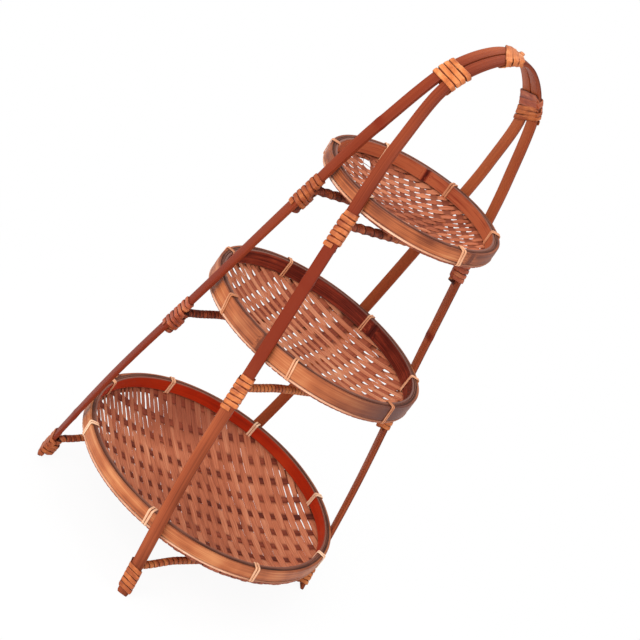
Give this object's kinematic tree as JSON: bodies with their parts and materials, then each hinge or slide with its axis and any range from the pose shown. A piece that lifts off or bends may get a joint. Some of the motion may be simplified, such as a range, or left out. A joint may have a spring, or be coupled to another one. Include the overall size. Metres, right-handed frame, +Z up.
{
  "type": "bamboo tray stand",
  "caption": "Tiered bamboo stand: bent hoops lashed into a carrying handle hold round woven trays, each smaller than the one below.",
  "frame": {"origin": "on the floor, midway between the four feet and under the centre of the lowest tray", "axes": "+Z up; X runs across each hoop, from its left foot to its right foot; +Y from the front hoop to the back hoop"},
  "size_m": [0.28, 0.28, 0.5764],
  "materials": {
    "stained_bamboo": "satin, reddish-brown stained bamboo strip with fine grain",
    "wrapped_rattan": "satin, dark red-brown rattan wound with flat cane",
    "golden_cane": "satin, golden-orange flat cane",
    "golden_band": "satin, golden-orange split bamboo with long grain",
    "red_band": "satin, red-brown split bamboo",
    "woven_bamboo": "matt, reddish-brown split bamboo strips woven flat",
    "brown_filler": "matt, grey-brown thin splints",
    "pale_reed": "satin, pale thin rod",
    "pale_cane": "satin, pale thin cane"
  },
  "bodies": {
    "root": {"front_hoop": "stained_bamboo", "front_lower_crossbar": "wrapped_rattan", "front_left_lower_lashing": "golden_cane", "front_right_lower_lashing": "golden_cane", "front_middle_crossbar": "wrapped_rattan", "front_left_middle_lashing": "golden_cane", "front_right_middle_lashing": "golden_cane", "front_upper_crossbar": "wrapped_rattan", "front_left_upper_lashing": "golden_cane", "front_right_upper_lashing": "golden_cane", "back_hoop": "stained_bamboo", "back_lower_crossbar": "wrapped_rattan", "back_left_lower_lashing": "golden_cane", "back_right_lower_lashing": "golden_cane", "back_middle_crossbar": "wrapped_rattan", "back_left_middle_lashing": "golden_cane", "back_right_middle_lashing": "golden_cane", "back_upper_crossbar": "wrapped_rattan", "back_left_upper_lashing": "golden_cane", "back_right_upper_lashing": "golden_cane", "handle_left_lashing": "golden_cane", "handle_top_lashing": "golden_cane", "handle_right_lashing": "golden_cane", "lower_tray_woven_mat": "woven_bamboo", "lower_tray_outer_band": "golden_band", "lower_tray_inner_band": "red_band", "lower_tray_rim_filler": "brown_filler", "lower_tray_edge_reed": "pale_reed", "lower_tray_rim_tie_1": "pale_cane", "lower_tray_rim_tie_2": "pale_cane", "lower_tray_rim_tie_3": "pale_cane", "lower_tray_rim_tie_4": "pale_cane", "lower_tray_rim_tie_5": "pale_cane", "lower_tray_rim_tie_6": "pale_cane", "lower_tray_rim_tie_7": "pale_cane", "lower_tray_rim_tie_8": "pale_cane", "middle_tray_woven_mat": "woven_bamboo", "middle_tray_outer_band": "golden_band", "middle_tray_inner_band": "red_band", "middle_tray_rim_filler": "brown_filler", "middle_tray_edge_reed": "pale_reed", "middle_tray_rim_tie_1": "pale_cane", "middle_tray_rim_tie_2": "pale_cane", "middle_tray_rim_tie_3": "pale_cane", "middle_tray_rim_tie_4": "pale_cane", "middle_tray_rim_tie_5": "pale_cane", "middle_tray_rim_tie_6": "pale_cane", "middle_tray_rim_tie_7": "pale_cane", "upper_tray_woven_mat": "woven_bamboo", "upper_tray_outer_band": "golden_band", "upper_tray_inner_band": "red_band", "upper_tray_rim_filler": "brown_filler", "upper_tray_edge_reed": "pale_reed", "upper_tray_rim_tie_1": "pale_cane", "upper_tray_rim_tie_2": "pale_cane", "upper_tray_rim_tie_3": "pale_cane", "upper_tray_rim_tie_4": "pale_cane", "upper_tray_rim_tie_5": "pale_cane", "upper_tray_rim_tie_6": "pale_cane"}
  },
  "joints": []
}
